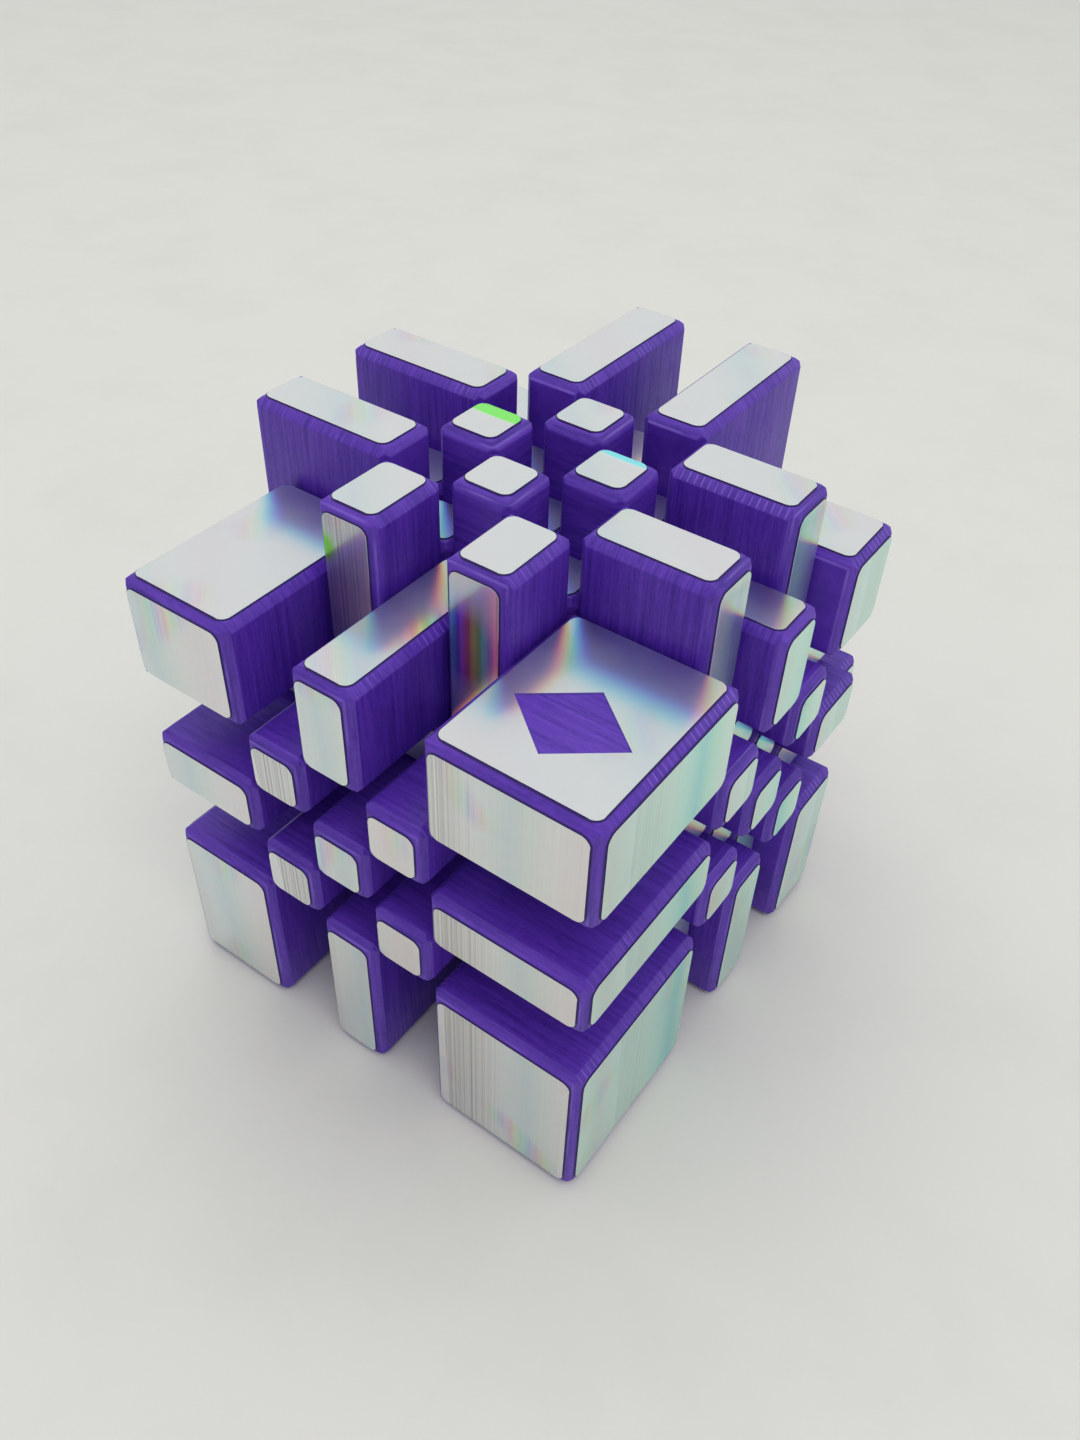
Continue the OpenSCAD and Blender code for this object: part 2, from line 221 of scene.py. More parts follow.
class Tree:
    """A node tree with short ways to add, feed and join its nodes."""

    def __init__(self, tree: NodeTree) -> None:
        """Starts on an empty tree."""
        self.tree = tree
        tree.nodes.clear()

    def add(self, kind: str, **settings: object) -> Node:
        """Adds a node.

        Args:
            kind: The node's type, without its ShaderNode prefix.
            settings: The node's own settings.

        Returns:
            The node.
        """
        prefix = "" if kind.startswith("Node") else "ShaderNode"
        node = self.tree.nodes.new(prefix + kind)
        for key, value in settings.items():
            setattr(node, key, value)
        return node

    def join(self, source: Socket, target: Socket) -> None:
        """Joins an output to an input."""
        self.tree.links.new(source, target)

    def feed(self, value: object, target: Socket) -> None:
        """Sets an input to a plain value, or joins it to an output.

        Args:
            value: The plain value or the output.
            target: The input.
        """
        if isinstance(value, Socket):
            self.join(value, target)
        else:
            target.default_value = value

    def put(self, node: Node, **values: object) -> Node:
        """Feeds a node's inputs by name.

        Args:
            node: The node.
            values: The inputs' values, with _ for a space in a name.

        Returns:
            The same node.
        """
        for label, value in values.items():
            self.feed(value, node.inputs[label.replace("_", " ")])
        return node

    def fed(self, kind: str, *values: object, **settings: object) -> Socket:
        """Adds a node and feeds its inputs in order.

        Args:
            kind: The node's type, without its ShaderNode prefix.
            values: The inputs' values, from the first on.
            settings: The node's own settings.

        Returns:
            The node's first output.
        """
        node = self.add(kind, **settings)
        for value, target in zip(values, node.inputs):
            self.feed(value, target)
        return node.outputs[0]

    def maths(self, operation: str, *values: object) -> Socket:
        """Adds a Math node and returns its output."""
        return self.fed("Math", *values, operation=operation)

    def vector(self, operation: str, *values: object) -> Socket:
        """Adds a Vector Math node and returns its vector."""
        return self.fed("VectorMath", *values, operation=operation)

    def measured(self, operation: str, *values: object) -> Socket:
        """Adds a Vector Math node and returns its number."""
        return self.vector(operation, *values).node.outputs["Value"]

    def scaled(self, vector: object, factor: float) -> Socket:
        """Scales a vector by a plain number and returns the result."""
        return self.vector("MULTIPLY", vector, (factor, factor, factor))

    def parts(self, vector: object) -> list[Socket]:
        """Splits a vector and returns its X, Y and Z."""
        return list(self.fed("SeparateXYZ", vector).node.outputs)

    def spread(self, value: object, low: float, high: float, to_low: float = 0.0,
               to_high: float = 1.0) -> Socket:
        """Maps a value from low..high to to_low..to_high, held at both ends."""
        return self.fed("MapRange", value, low, high, to_low, to_high)

    def facing(self, part: Socket, away: float, towards: float) -> Socket:
        """Gives one value where a part of the normal is near 0, and another near 1."""
        return self.spread(part, 0.4, 0.6, away, towards)

    def wave(self, value: Socket, pitch: Socket) -> Socket:
        """Adds a sine wave, from -1 to 1, that repeats along a value, and returns it."""
        turns = self.maths("DIVIDE", value, pitch)
        return self.maths("SINE", self.maths("MULTIPLY", turns, math.tau))

    def product(self, total: object, *others: object) -> Socket:
        """Multiplies values.

        Args:
            total: The first value.
            others: The others.

        Returns:
            The product.
        """
        for other in others:
            total = self.maths("MULTIPLY", total, other)
        return total

    def weighted(self, *terms: tuple[Socket, float]) -> Socket:
        """Adds values up by weight.

        Args:
            terms: Each value and its weight.

        Returns:
            The sum.
        """
        total = 0.0
        for value, weight in terms:
            total = self.maths("MULTIPLY_ADD", value, weight, total)
        return total

    def blend(self, factor: object, first: object, second: object,
              blend_type: str = "MIX") -> Socket:
        """Mixes two colours.

        Args:
            factor: The second colour's share.
            first: The first colour.
            second: The second colour.
            blend_type: The way they are mixed.

        Returns:
            The mixed colour.
        """
        node = self.add("Mix", data_type="RGBA", blend_type=blend_type)
        # A Mix node has a set of sockets for each kind of data. These are its colour sockets.
        for number, value in ((0, factor), (6, first), (7, second)):
            self.feed(value, node.inputs[number])
        return node.outputs[2]

    def noise(self, vector: object, scale: float, detail: float = 2.0,
              roughness: float = 0.5) -> Socket:
        """Adds a Noise Texture and returns its value."""
        return self.put(self.add("TexNoise"), Vector=vector, Scale=scale, Detail=detail,
                        Roughness=roughness).outputs[0]

    def bump(self, height: Socket, strength: float, depth: float) -> Socket:
        """Adds a Bump node, with its depth in mm, and returns its normal."""
        return self.put(self.add("Bump"), Height=height, Strength=strength,
                        Distance=depth * MM).outputs[0]

    def end(self, shader: Socket, kind: str = "OutputMaterial") -> None:
        """Joins a shader to a new output node."""
        self.join(shader, self.add(kind).inputs[0])


def rgba(colour: Colour) -> tuple[float, float, float, float]:
    """A colour with full alpha."""
    return (*colour, 1.0)


def from_screen(*screen: int) -> Colour:
    """A linear colour from its red, green and blue on a screen, 0 to 255 each."""
    return tuple(Color([part / 255 for part in screen]).from_srgb_to_scene_linear())


def new_group(name: str, inputs: dict[str, object],
              outputs: dict[str, str]) -> tuple[Tree, Node, Node]:
    """Makes an empty shader node group with its sockets and a Vector input.

    Args:
        name: The group's name.
        inputs: The value of each input but Vector: a number, a vector or a colour.
        outputs: The socket type of each output.

    Returns:
        The group's tree, its input node and its output node.
    """
    group = bpy.data.node_groups.new(name, "ShaderNodeTree")
    for label, value in {"Vector": (0.0, 0.0, 0.0), **inputs}.items():
        kind = FLOAT if isinstance(value, float) else VECTOR if len(value) == 3 else COLOUR
        socket = group.interface.new_socket(name=label, in_out="INPUT", socket_type=kind)
        socket.default_value = value
    for label, kind in outputs.items():
        group.interface.new_socket(name=label, in_out="OUTPUT", socket_type=kind)
    tree = Tree(group)
    return tree, tree.add("NodeGroupInput"), tree.add("NodeGroupOutput")


@dataclass(frozen=True)
class LayerLines:
    """The group that draws printed layers: fine lines, streaks and painted highlights on ribs.
    Lengths are in mm.
    """

    layer_height: float = 0.4
    rib_pitch: float = 1.25
    stretch: Triple = (0.035, 0.035, 1.0)
    waver_scale: float = 1.3
    uneven_scale: float = 3.4
    speckle_stretch: Triple = (0.5, 0.5, 1.6)
    speckle_scale: float = 1.5
    streak_shares: tuple[float, float, float] = (0.42, 0.32, 0.26)
    streak_span: tuple[float, float] = (0.34, 0.66)
    line_depth: float = 0.35
    chamfer_span: tuple[float, float] = (0.76, 0.94)
    rib_span: tuple[float, float] = (0.55, 0.95)
    patch_scale: float = 0.09
    patch_span: tuple[float, float] = (0.46, 0.62)

    def make(self) -> NodeTree:
        """Builds the group.

        Returns:
            The group. Its Vector's Z runs across the layers. It puts out Height, for a bump,
            Streak, from dull to bright, and Rib, a mask of painted highlights on the ribs across
            chamfers.
        """
        tree, given, made = new_group(
            "Layer lines",
            {"Normal": UP, "Layer Height": self.layer_height, "Rib Pitch": self.rib_pitch},
            {"Height": FLOAT, "Streak": FLOAT, "Rib": FLOAT},
        )
        in_mm = tree.scaled(given.outputs["Vector"], 1 / MM)
        across = tree.parts(in_mm)[2]
        drawn = tree.vector("MULTIPLY", in_mm, self.stretch)
        waver = tree.noise(drawn, self.waver_scale, 3.0)
        uneven = tree.noise(drawn, self.uneven_scale, 2.0, 0.7)
        speckle = tree.noise(tree.vector("MULTIPLY", in_mm, self.speckle_stretch),
                             self.speckle_scale, 3.0, 0.75)
        streak = tree.weighted(*zip((waver, uneven, speckle), self.streak_shares))
        layers = tree.wave(across, given.outputs["Layer Height"])
        # A chamfer looks along two axes at once, so no part of its normal comes near 1.
        x, y, z = tree.parts(tree.vector("ABSOLUTE", given.outputs["Normal"]))
        largest = tree.maths("MAXIMUM", tree.maths("MAXIMUM", x, y), z)
        slanted = tree.spread(largest, *self.chamfer_span, 1.0, 0.0)
        # Painted highlights: the ribs where the layers cross a chamfer are marked for a lighter
        # colour.
        ribs = tree.spread(tree.wave(across, given.outputs["Rib Pitch"]), *self.rib_span)
        patchy = tree.spread(tree.noise(in_mm, self.patch_scale, 1.0), *self.patch_span)
        tree.put(made, Height=tree.weighted((layers, self.line_depth), (uneven, 1.0)),
                 Streak=tree.spread(streak, *self.streak_span),
                 Rib=tree.product(ribs, slanted, patchy))
        return tree.tree


@dataclass(frozen=True)
class Rainbow:
    """The group that tints rainbow foil: soft bands of painted rainbow reflection, fine lines and
    rare painted glints.

    Lengths are in mm. The bands follow each other in turns of one band pitch.
    """

    band_pitch: float = 36.0
    start: tuple[float, float] = (-38.0, 26.5)
    first_turn: float = 0.45
    stops: tuple[tuple[float, Colour], ...] = (
        (0.00, (1.00, 1.00, 1.00)), (0.26, (0.97, 1.00, 0.97)), (0.40, (0.82, 0.98, 0.96)),
        (0.50, (0.62, 0.88, 0.92)), (0.58, (0.80, 0.98, 0.90)), (0.70, (1.00, 1.00, 0.98)),
        (0.84, (1.00, 0.90, 0.92)), (1.00, (1.00, 1.00, 1.00)),
    )
    slant_on_top: float = 0.7
    lean: float = 0.06
    sway: float = 5.0
    sway_scale: float = 0.03
    share_on_top: float = 0.3
    share_in_front: float = 0.45
    line_scale: float = 2.2
    line_span: tuple[float, float] = (0.42, 0.66)
    lined_turns: tuple[float, float] = (0.14, 0.34)
    line_share_on_sides: float = 0.4
    hues_per_mm: float = 0.16
    hue_stir: float = 0.5
    saturation: float = 0.72
    rare_place: Triple = (11.0, 3.0, 7.0)
    rare_scale: float = 0.07
    rare_span: tuple[float, float] = (0.62, 0.74)

    def make(self) -> NodeTree:
        """Builds the group.

        Returns:
            The group. It puts out Tint, a pastel colour of painted rainbow reflection to multiply
            by, Glint, the saturated colour of a painted glint, Glint Mask, where that painted
            glint shows, and Line, a mask of fine upright lines.
        """
        tree, given, made = new_group(
            "Rainbow", {"Normal": UP, "Strength": 1.0, "Band Pitch": self.band_pitch},
            {"Tint": COLOUR, "Glint": COLOUR, "Glint Mask": FLOAT, "Line": FLOAT},
        )
        in_mm = tree.scaled(given.outputs["Vector"], 1 / MM)
        place = tree.parts(in_mm)
        side, front, top = tree.parts(tree.vector("ABSOLUTE", given.outputs["Normal"]))
        # The foil's grooves run upright on side faces, so its bands follow each other sideways.
        past_x, past_y = (tree.maths("ADD", *pair) for pair in zip(place, self.start))
        sideways = tree.maths("ADD", tree.product(past_x, front), tree.product(past_y, side))
        slanting = tree.product(tree.maths("ADD", past_x, past_y), top)
        across = tree.weighted((sideways, 1.0), (slanting, self.slant_on_top))
        leaning = tree.weighted((across, 1.0), (place[2], self.lean),
                                (tree.noise(in_mm, self.sway_scale, 0.0), self.sway))
        turns = tree.maths("DIVIDE", leaning, given.outputs["Band Pitch"])
        turn = tree.maths("FRACT", tree.maths("ADD", turns, self.first_turn))
        # The painted rainbow shows most on faces that look along X, and less on tops and fronts.
        amount = tree.product(tree.facing(top, 1.0, self.share_on_top),
                              tree.facing(front, 1.0, self.share_in_front),
                              given.outputs["Strength"])
        lines = tree.noise(tree.fed("CombineXYZ", across), self.line_scale, 3.0, 0.75)
        hue = tree.maths("FRACT", tree.weighted((across, self.hues_per_mm),
                                                (lines, self.hue_stir)))
        glint = tree.fed("CombineColor", hue, self.saturation,
                         tree.spread(lines, 0.35, 0.65, 0.55, 1.0), mode="HSV")
        ruled = tree.product(tree.facing(top, 1.0, 0.0), tree.spread(lines, *self.line_span),
                             tree.facing(side, 1.0, self.line_share_on_sides))
        # Rare painted glints, where a coarse noise runs high.
        rare = tree.noise(tree.vector("ADD", in_mm, self.rare_place), self.rare_scale, 0.0)
        tree.put(made, Tint=tree.blend(amount, rgba(WHITE), self.bands(tree, turn)), Glint=glint,
                 Glint_Mask=tree.product(tree.spread(rare, *self.rare_span),
                                         tree.spread(ruled, 0.0, 1.0, 0.25, 1.0)),
                 Line=tree.product(ruled, tree.spread(turn, *self.lined_turns, 1.0, 0.1)))
        return tree.tree

    def bands(self, tree: Tree, turn: Socket) -> Socket:
        """Adds the pastel bands.

        Args:
            tree: The group's tree.
            turn: The place in a turn, 0 to 1.

        Returns:
            The bands' colour.
        """
        node = tree.add("ValToRGB")
        ramp = node.color_ramp.elements
        ramp.remove(ramp[1])
        for number, (at, colour) in enumerate(self.stops):
            stop = ramp[0] if number == 0 else ramp.new(at)
            stop.position = at
            stop.color = rgba(colour)
        tree.join(turn, node.inputs[0])
        return node.outputs[0]


@dataclass(frozen=True)
class Glint:
    """A painted glint on the foil, a bright patch of colour: round, or a bar where it is
    stretched along X.

    It is solid out to its core's share of its reach, and fades from there. Without a colour
    it shows the whole rainbow. Lengths are in mm.
    """

    centre: Triple
    reach: float
    colour: Colour | None = None
    core: float = 0.4
    stretch: float = 1.0


# Painted glints: fixed bright patches of colour on the foil, standing in for light that it
# throws.
GLINTS = (
    Glint((-12.5, 4.0, 52.6), 2.8, (0.30, 1.0, 0.20), core=0.8, stretch=5.0),
    Glint((12.5, 4.6, 52.6), 2.0, (0.30, 0.92, 1.0), core=0.6, stretch=6.0),
    Glint((-17.6, -35.6, 44.4), 4.8, (0.32, 1.0, 0.08)),
    Glint((10.2, -35.6, 38.0), 13.0),
)


def make_glints() -> NodeTree:
    """Builds the group of the few painted glints: bright patches of colour on the foil near tall
    blocks.

    Returns:
        The group. It puts out Colour and Mask.
    """
    tree, given, made = new_group("Glints", {"Rainbow": rgba(WHITE)},
                                  {"Colour": COLOUR, "Mask": FLOAT})
    in_mm = tree.scaled(given.outputs["Vector"], 1 / MM)
    colour, mask = rgba(WHITE), 0.0
    for glint in GLINTS:
        apart = tree.vector("SUBTRACT", in_mm, glint.centre)
        away = tree.measured("LENGTH", tree.vector("MULTIPLY", apart,
                                                   (1 / glint.stretch, 1.0, 1.0)))
        near = tree.spread(away, glint.core * glint.reach, glint.reach, 1.0, 0.0)
        lit = given.outputs["Rainbow"] if glint.colour is None else rgba(glint.colour)
        colour = tree.blend(near, colour, lit)
        mask = tree.maths("MAXIMUM", near, mask)
    tree.put(made, Colour=colour, Mask=mask)
    return tree.tree


def make_wear() -> NodeTree:
    """Builds the group of faint dust, rubs and fingermarks, with its Size in mm.

    Returns:
        The group. It puts out Mask, from clean to marked.
    """
    tree, given, made = new_group("Wear", {"Size": 6.0}, {"Mask": FLOAT})
    in_mm = tree.scaled(given.outputs["Vector"], 1 / MM)
    marks = tree.noise(tree.vector("DIVIDE", in_mm, given.outputs["Size"]), 1.0, 5.0, 0.65)
    tree.put(made, Mask=tree.spread(marks, 0.45, 0.72))
    return tree.tree


@dataclass
class Effects:
    """The shared node groups."""

    layer_lines: NodeTree = field(default_factory=LayerLines().make)
    rainbow: NodeTree = field(default_factory=Rainbow().make)
    glints: NodeTree = field(default_factory=make_glints)
    wear: NodeTree = field(default_factory=make_wear)

    def place(self, tree: Tree, group: NodeTree, **values: object) -> Node:
        """Places a group in a material, feeds its inputs by name and returns its node."""
        return tree.put(tree.add("Group", node_tree=group), **values)

    def worn(self, tree: Tree, place: Socket, size: float) -> Socket:
        """Places the wear group, with marks of a size in mm, and returns its mask."""
        return self.place(tree, self.wear, Vector=place, Size=size).outputs["Mask"]


def start_material(name: str) -> tuple[Material, Tree]:
    """Makes an empty material.

    Args:
        name: The material's name.

    Returns:
        The material and its tree.
    """
    material = bpy.data.materials.new(name)
    material.use_nodes = True
    return material, Tree(material.node_tree)


# --- Finishes ---


@dataclass(frozen=True)
class PrintedFinish:
    """Violet printed plastic with a satin sheen and its layers showing, and painted highlights on
    the ribs across its chamfers.
    """

    name: str
    stack: Stack
    dull: Colour
    bright: Colour
    rib: Colour
    roughness: float = 0.42
    dull_rougher: float = 0.08
    bright_rougher: float = -0.06
    worn_rougher: float = 0.12
    specular: float = 0.42
    rib_share: float = 0.42
    wear_size: float = 7.0
    bump: float = 0.1
    bump_depth: float = 0.06

    def make(self, effects: Effects) -> Material:
        """Builds the material.

        Args:
            effects: The shared node groups.

        Returns:
            The material.
        """
        material, tree = start_material(self.name)
        place = tree.add("TexCoord").outputs
        lines = effects.place(tree, effects.layer_lines, Normal=place["Normal"],
                              Vector=self.turn(tree, place["Object"])).outputs
        colour = tree.blend(lines["Streak"], rgba(self.dull), rgba(self.bright))
        gloss = tree.spread(lines["Streak"], 0.0, 1.0, self.roughness + self.dull_rougher,
                            self.roughness + self.bright_rougher)
        worn = effects.worn(tree, place["Object"], self.wear_size)
        shader = tree.put(
            tree.add("BsdfPrincipled"), Specular_IOR_Level=self.specular,
            # The ribs across chamfers take a lighter violet: painted highlights.
            Base_Color=tree.blend(tree.product(lines["Rib"], self.rib_share), colour,
                                  rgba(self.rib)),
            Roughness=tree.weighted((gloss, 1.0), (worn, self.worn_rougher)),
            Normal=tree.bump(lines["Height"], self.bump, self.bump_depth))
        tree.end(shader.outputs[0])
        return material

    def turn(self, tree: Tree, vector: Socket) -> Socket:
        """Reorders a place so that its Z runs across the layers, and returns it."""
        parts = tree.parts(vector)
        return tree.fed("CombineXYZ", *(parts[(self.stack.value + n) % 3] for n in (1, 2, 3)))


@dataclass(frozen=True)
class FoilFinish:
    """Silver rainbow foil: a mirror that splits light, under a soft haze, with painted rainbow
    reflection and painted glints in its colour.
    """

    name: str = "rainbow_foil"
    silver: Colour = from_screen(231, 233, 236)
    cool_silver: Colour = from_screen(218, 242, 236)
    line: Colour = from_screen(124, 126, 120)
    haze_roughness: float = 0.4
    worn_rougher: float = 0.1
    haze_share: float = 0.4
    mirror_roughness: float = 0.17
    split: float = 0.13
    split_along: Triple = (0.55, 0.6, 0.58)
    tint: float = 1.0
    rare_share: float = 0.5
    glint_share: float = 0.95
    line_share: float = 0.8
    wear_size: float = 9.0
    ripple_scale: float = 70.0
    ripple: float = 0.12
    ripple_depth: float = 0.4
    # How far each part of the light leans as the foil's grooves split it, and its colour.
    # The colours add up to white.
    spectrum: tuple[tuple[float, Colour], ...] = (
        (1.0, (0.55, 0.0, 0.0)),
        (0.5, (0.45, 0.28, 0.0)),
        (0.0, (0.0, 0.44, 0.0)),
        (-0.5, (0.0, 0.28, 0.45)),
        (-1.0, (0.0, 0.0, 0.55)),
    )

    def make(self, effects: Effects) -> Material:
        """Builds the material.

        Args:
            effects: The shared node groups.

        Returns:
            The material.
        """
        material, tree = start_material(self.name)
        place = tree.add("TexCoord").outputs
        rainbow = effects.place(tree, effects.rainbow, Vector=place["Object"],
                                Normal=place["Normal"], Strength=self.tint).outputs
        glints = effects.place(tree, effects.glints, Vector=place["Object"],
                               Rainbow=rainbow["Glint"]).outputs
        # Foil that looks along X is a cooler, greener silver: a painted reflection tint.
        side = tree.parts(tree.vector("ABSOLUTE", place["Normal"]))[0]
        colour = tree.blend(side, rgba(self.silver), rgba(self.cool_silver))
        colour = tree.blend(1.0, colour, rainbow["Tint"], "MULTIPLY")
        # The rare painted glints, the painted glints and the fine lines are laid over the foil's
        # colour.
        for mask, share, shown in (
            (rainbow["Glint Mask"], self.rare_share, rainbow["Glint"]),
            (glints["Mask"], self.glint_share, glints["Colour"]),
            (rainbow["Line"], self.line_share, rgba(self.line)),
        ):
            colour = tree.blend(tree.product(mask, share), colour, shown)
        ripple = tree.bump(tree.noise(place["Object"], self.ripple_scale, 1.0), self.ripple,
                           self.ripple_depth)
        worn = effects.worn(tree, place["Object"], self.wear_size)
        haze = tree.put(
            tree.add("BsdfPrincipled"), Metallic=1.0, Base_Color=colour, Normal=ripple,
            Roughness=tree.maths("MULTIPLY_ADD", worn, self.worn_rougher,
                                 self.haze_roughness))
        tree.end(tree.fed("MixShader", self.haze_share, self.split_mirror(tree, ripple, colour),
                          haze.outputs[0]))
        return material

    def split_mirror(self, tree: Tree, normal: Socket, tint: Socket) -> Socket:
        """Adds a mirror for each part of the light, each leaning a little further.

        The mirrors are mixed in equal shares, and each is bright enough to make up for its
        share, so that together they reflect the whole light.

        Args:
            tree: The material's tree.
            normal: The foil's own normal.
            tint: The foil's colour.

        Returns:
            The mirrors' mix, a shader.
        """
        along = tree.fed("VectorTransform", self.split_along, vector_type="VECTOR",
                         convert_from="OBJECT", convert_to="WORLD")
        total = None
        for count, (lean, keep) in enumerate(self.spectrum, start=1):
            leaning = tree.vector("ADD", normal, tree.scaled(along, lean * self.split))
            bright = rgba(tuple(part * len(self.spectrum) for part in keep))
            mirror = tree.put(
                tree.add("BsdfAnisotropic"), Roughness=self.mirror_roughness,
                Color=tree.blend(1.0, tint, bright, "MULTIPLY"),
                Normal=tree.vector("NORMALIZE", leaning)).outputs[0]
            total = (mirror if total is None
                     else tree.fed("MixShader", 1 / count, total, mirror))
        return total


@dataclass(frozen=True)
class SimpleFinish:
    """A plain finish with fine grain and marks: moulded plastic, steel, or a sticker's rim, dark
    as painted shade.
    """

    name: str
    dark: Colour
    light: Colour
    roughness: float
    metallic: float = 0.0
    grain_scale: float = 900.0
    worn_rougher: float = 0.15
    wear_size: float = 3.0
    bump: float = 0.1
    bump_depth: float = 0.05

    def make(self, effects: Effects) -> Material:
        """Builds the material.

        Args:
            effects: The shared node groups.

        Returns:
            The material.
        """
        material, tree = start_material(self.name)
        place = tree.add("TexCoord").outputs["Object"]
        worn = effects.worn(tree, place, self.wear_size)
        grain = tree.noise(place, self.grain_scale, 3.0)
        shade = tree.weighted((worn, 0.5), (grain, 0.5))
        shader = tree.put(
            tree.add("BsdfPrincipled"), Metallic=self.metallic,
            Base_Color=tree.blend(shade, rgba(self.dark), rgba(self.light)),
            Roughness=tree.spread(worn, 0.0, 1.0, self.roughness,
                                  self.roughness + self.worn_rougher),
            Normal=tree.bump(grain, self.bump, self.bump_depth))
        tree.end(shader.outputs[0])
        return material


class Finishes:
    """Every finished material of the puzzle."""

    def __init__(self, effects: Effects) -> None:
        """Builds the materials.

        Args:
            effects: The shared node groups.
        """
        violet = {
            "dull": from_screen(60, 27, 144),
            "bright": from_screen(106, 60, 196),
            # The lighter violet of the painted highlights on chamfer ribs.
            "rib": from_screen(150, 122, 226),
        }
        self.printed = [
            PrintedFinish(f"violet_print_{stack.name.lower()}", stack, **violet).make(effects)
            for stack in Stack
        ]
        # The parts inside take a darker copy of the violet print: painted shade.
        self.inner = PrintedFinish(
            "violet_inner_print", Stack.ALONG_Z, dull=from_screen(58, 28, 134),
            bright=from_screen(78, 42, 164), rib=from_screen(90, 60, 176), roughness=0.5,
        ).make(effects)
        self.foil = FoilFinish().make(effects)
        # The stickers' rims are a dark violet: painted shade, the shadow line round each sticker.
        self.rim = SimpleFinish("sticker_rim", from_screen(48, 26, 104), from_screen(62, 36, 124),
                                0.6, grain_scale=400.0).make(effects)
        self.core = SimpleFinish("black_moulding", (0.012, 0.012, 0.014), (0.03, 0.03, 0.034),
                                 0.4).make(effects)
        self.steel = SimpleFinish("zinc_steel", (0.42, 0.43, 0.44), (0.62, 0.63, 0.64), 0.28,
                                  metallic=1.0).make(effects)


# --- Printed blocks ---


def cell_of(place: Vector) -> tuple[int, int, int]:
    """The cell numbers, 0 to 4 along X, Y and Z, of the block that a point lies in."""
    cells = (math.floor((part + BASE_HALF) / PITCH) for part in place)
    return tuple(max(0, min(LAST_CELL, cell)) for cell in cells)


@dataclass
class BlockSet:
    """The printed blocks of one CAD node, with soft edges all round their outer ends.

    The edges on both sides of a chamfer turn by an angle, in degrees, within chamfer_turn.
    """

    node: str
    body: str
    soft_edge: float = 0.16 * MM
    soft_segments: int = 2
    chamfer_turn: tuple[float, float] = (20.0, 75.0)
    probe: float = 0.4 * MM

    def __post_init__(self) -> None:
        """Rounds the narrow pillars of the T-centres more than the rest."""
        if self.node.endswith("t_centres"):
            self.soft_edge, self.soft_segments = 0.45 * MM, 3

    def build(self, finishes: Finishes) -> None:
        """Builds, dresses and hands over the set.

        Args:
            finishes: The puzzle's materials.
        """
        piece = copy_of_node(self.node, self.node + "_print")
        self.soften(piece)
        self.dress(piece, finishes)
        hand_over(piece, self.body, Slot.PRINTED, self.node)

    def soften(self, piece: Object) -> None:
        """Bevels the edges on both sides of each chamfer.

        Args:
            piece: The copy of the CAD node.
        """
        with editing(piece, "EDGE", "DESELECT"):
            pick_edges(piece, self.is_chamfer_edge)
            bpy.ops.mesh.bevel(offset=self.soft_edge, segments=self.soft_segments,
                               affect="EDGES", clamp_overlap=True)

    def is_chamfer_edge(self, edge: bmesh.types.BMEdge) -> bool:
        """Tests whether an edge bounds a chamfer, outside the plain cube inside.

        Args:
            edge: The edge.

        Returns:
            Whether it does.
        """
        if len(edge.link_faces) != 2 or not edge.is_convex:
            return False
        middle = (edge.verts[0].co + edge.verts[1].co) / 2
        if max(abs(part) for part in middle) < BASE_HALF + self.probe:
            return False
        least, most = self.chamfer_turn
        return least < math.degrees(edge.calc_face_angle()) < most

    def dress(self, piece: Object, finishes: Finishes) -> None:
        """Gives each block the print finish of its own stacking direction.

        Args:
            piece: The softened piece.
            finishes: The puzzle's materials.
        """
        for material in finishes.printed:
            piece.data.materials.append(material)
        for face in piece.data.polygons:
            cell = cell_of(face.center - face.normal * self.probe)
            face.material_index = self.stack_of(cell).value

    def stack_of(self, cell: tuple[int, int, int]) -> Stack:
        """Finds the direction in which a block was printed.

        Args:
            cell: The block's cell numbers.

        Returns:
            The direction.
        """
        if cell[1] in (0, LAST_CELL):
            return Stack.ALONG_Y
        if cell[0] in (0, LAST_CELL):
            return Stack.ALONG_X
        return Stack.ALONG_Z


# --- Foil stickers ---


@dataclass(frozen=True)
class Plate:
    """The box of one sticker, and the axis and side that it looks along."""

    low: Vector
    high: Vector

    @property
    def size(self) -> Vector:
        """The plate's size along X, Y and Z."""
        return self.high - self.low

    @property
    def axis(self) -> int:
        """The axis that the plate is thin along."""
        return min(range(3), key=lambda n: self.size[n])

    @property
    def side(self) -> float:
        """1 where the plate looks along its axis, -1 where it looks against it."""
        return math.copysign(1.0, (self.low + self.high)[self.axis])

    @property
    def outward(self) -> Vector:
        """The direction that the plate looks in."""
        return Vector([self.side if n == self.axis else 0.0 for n in range(3)])


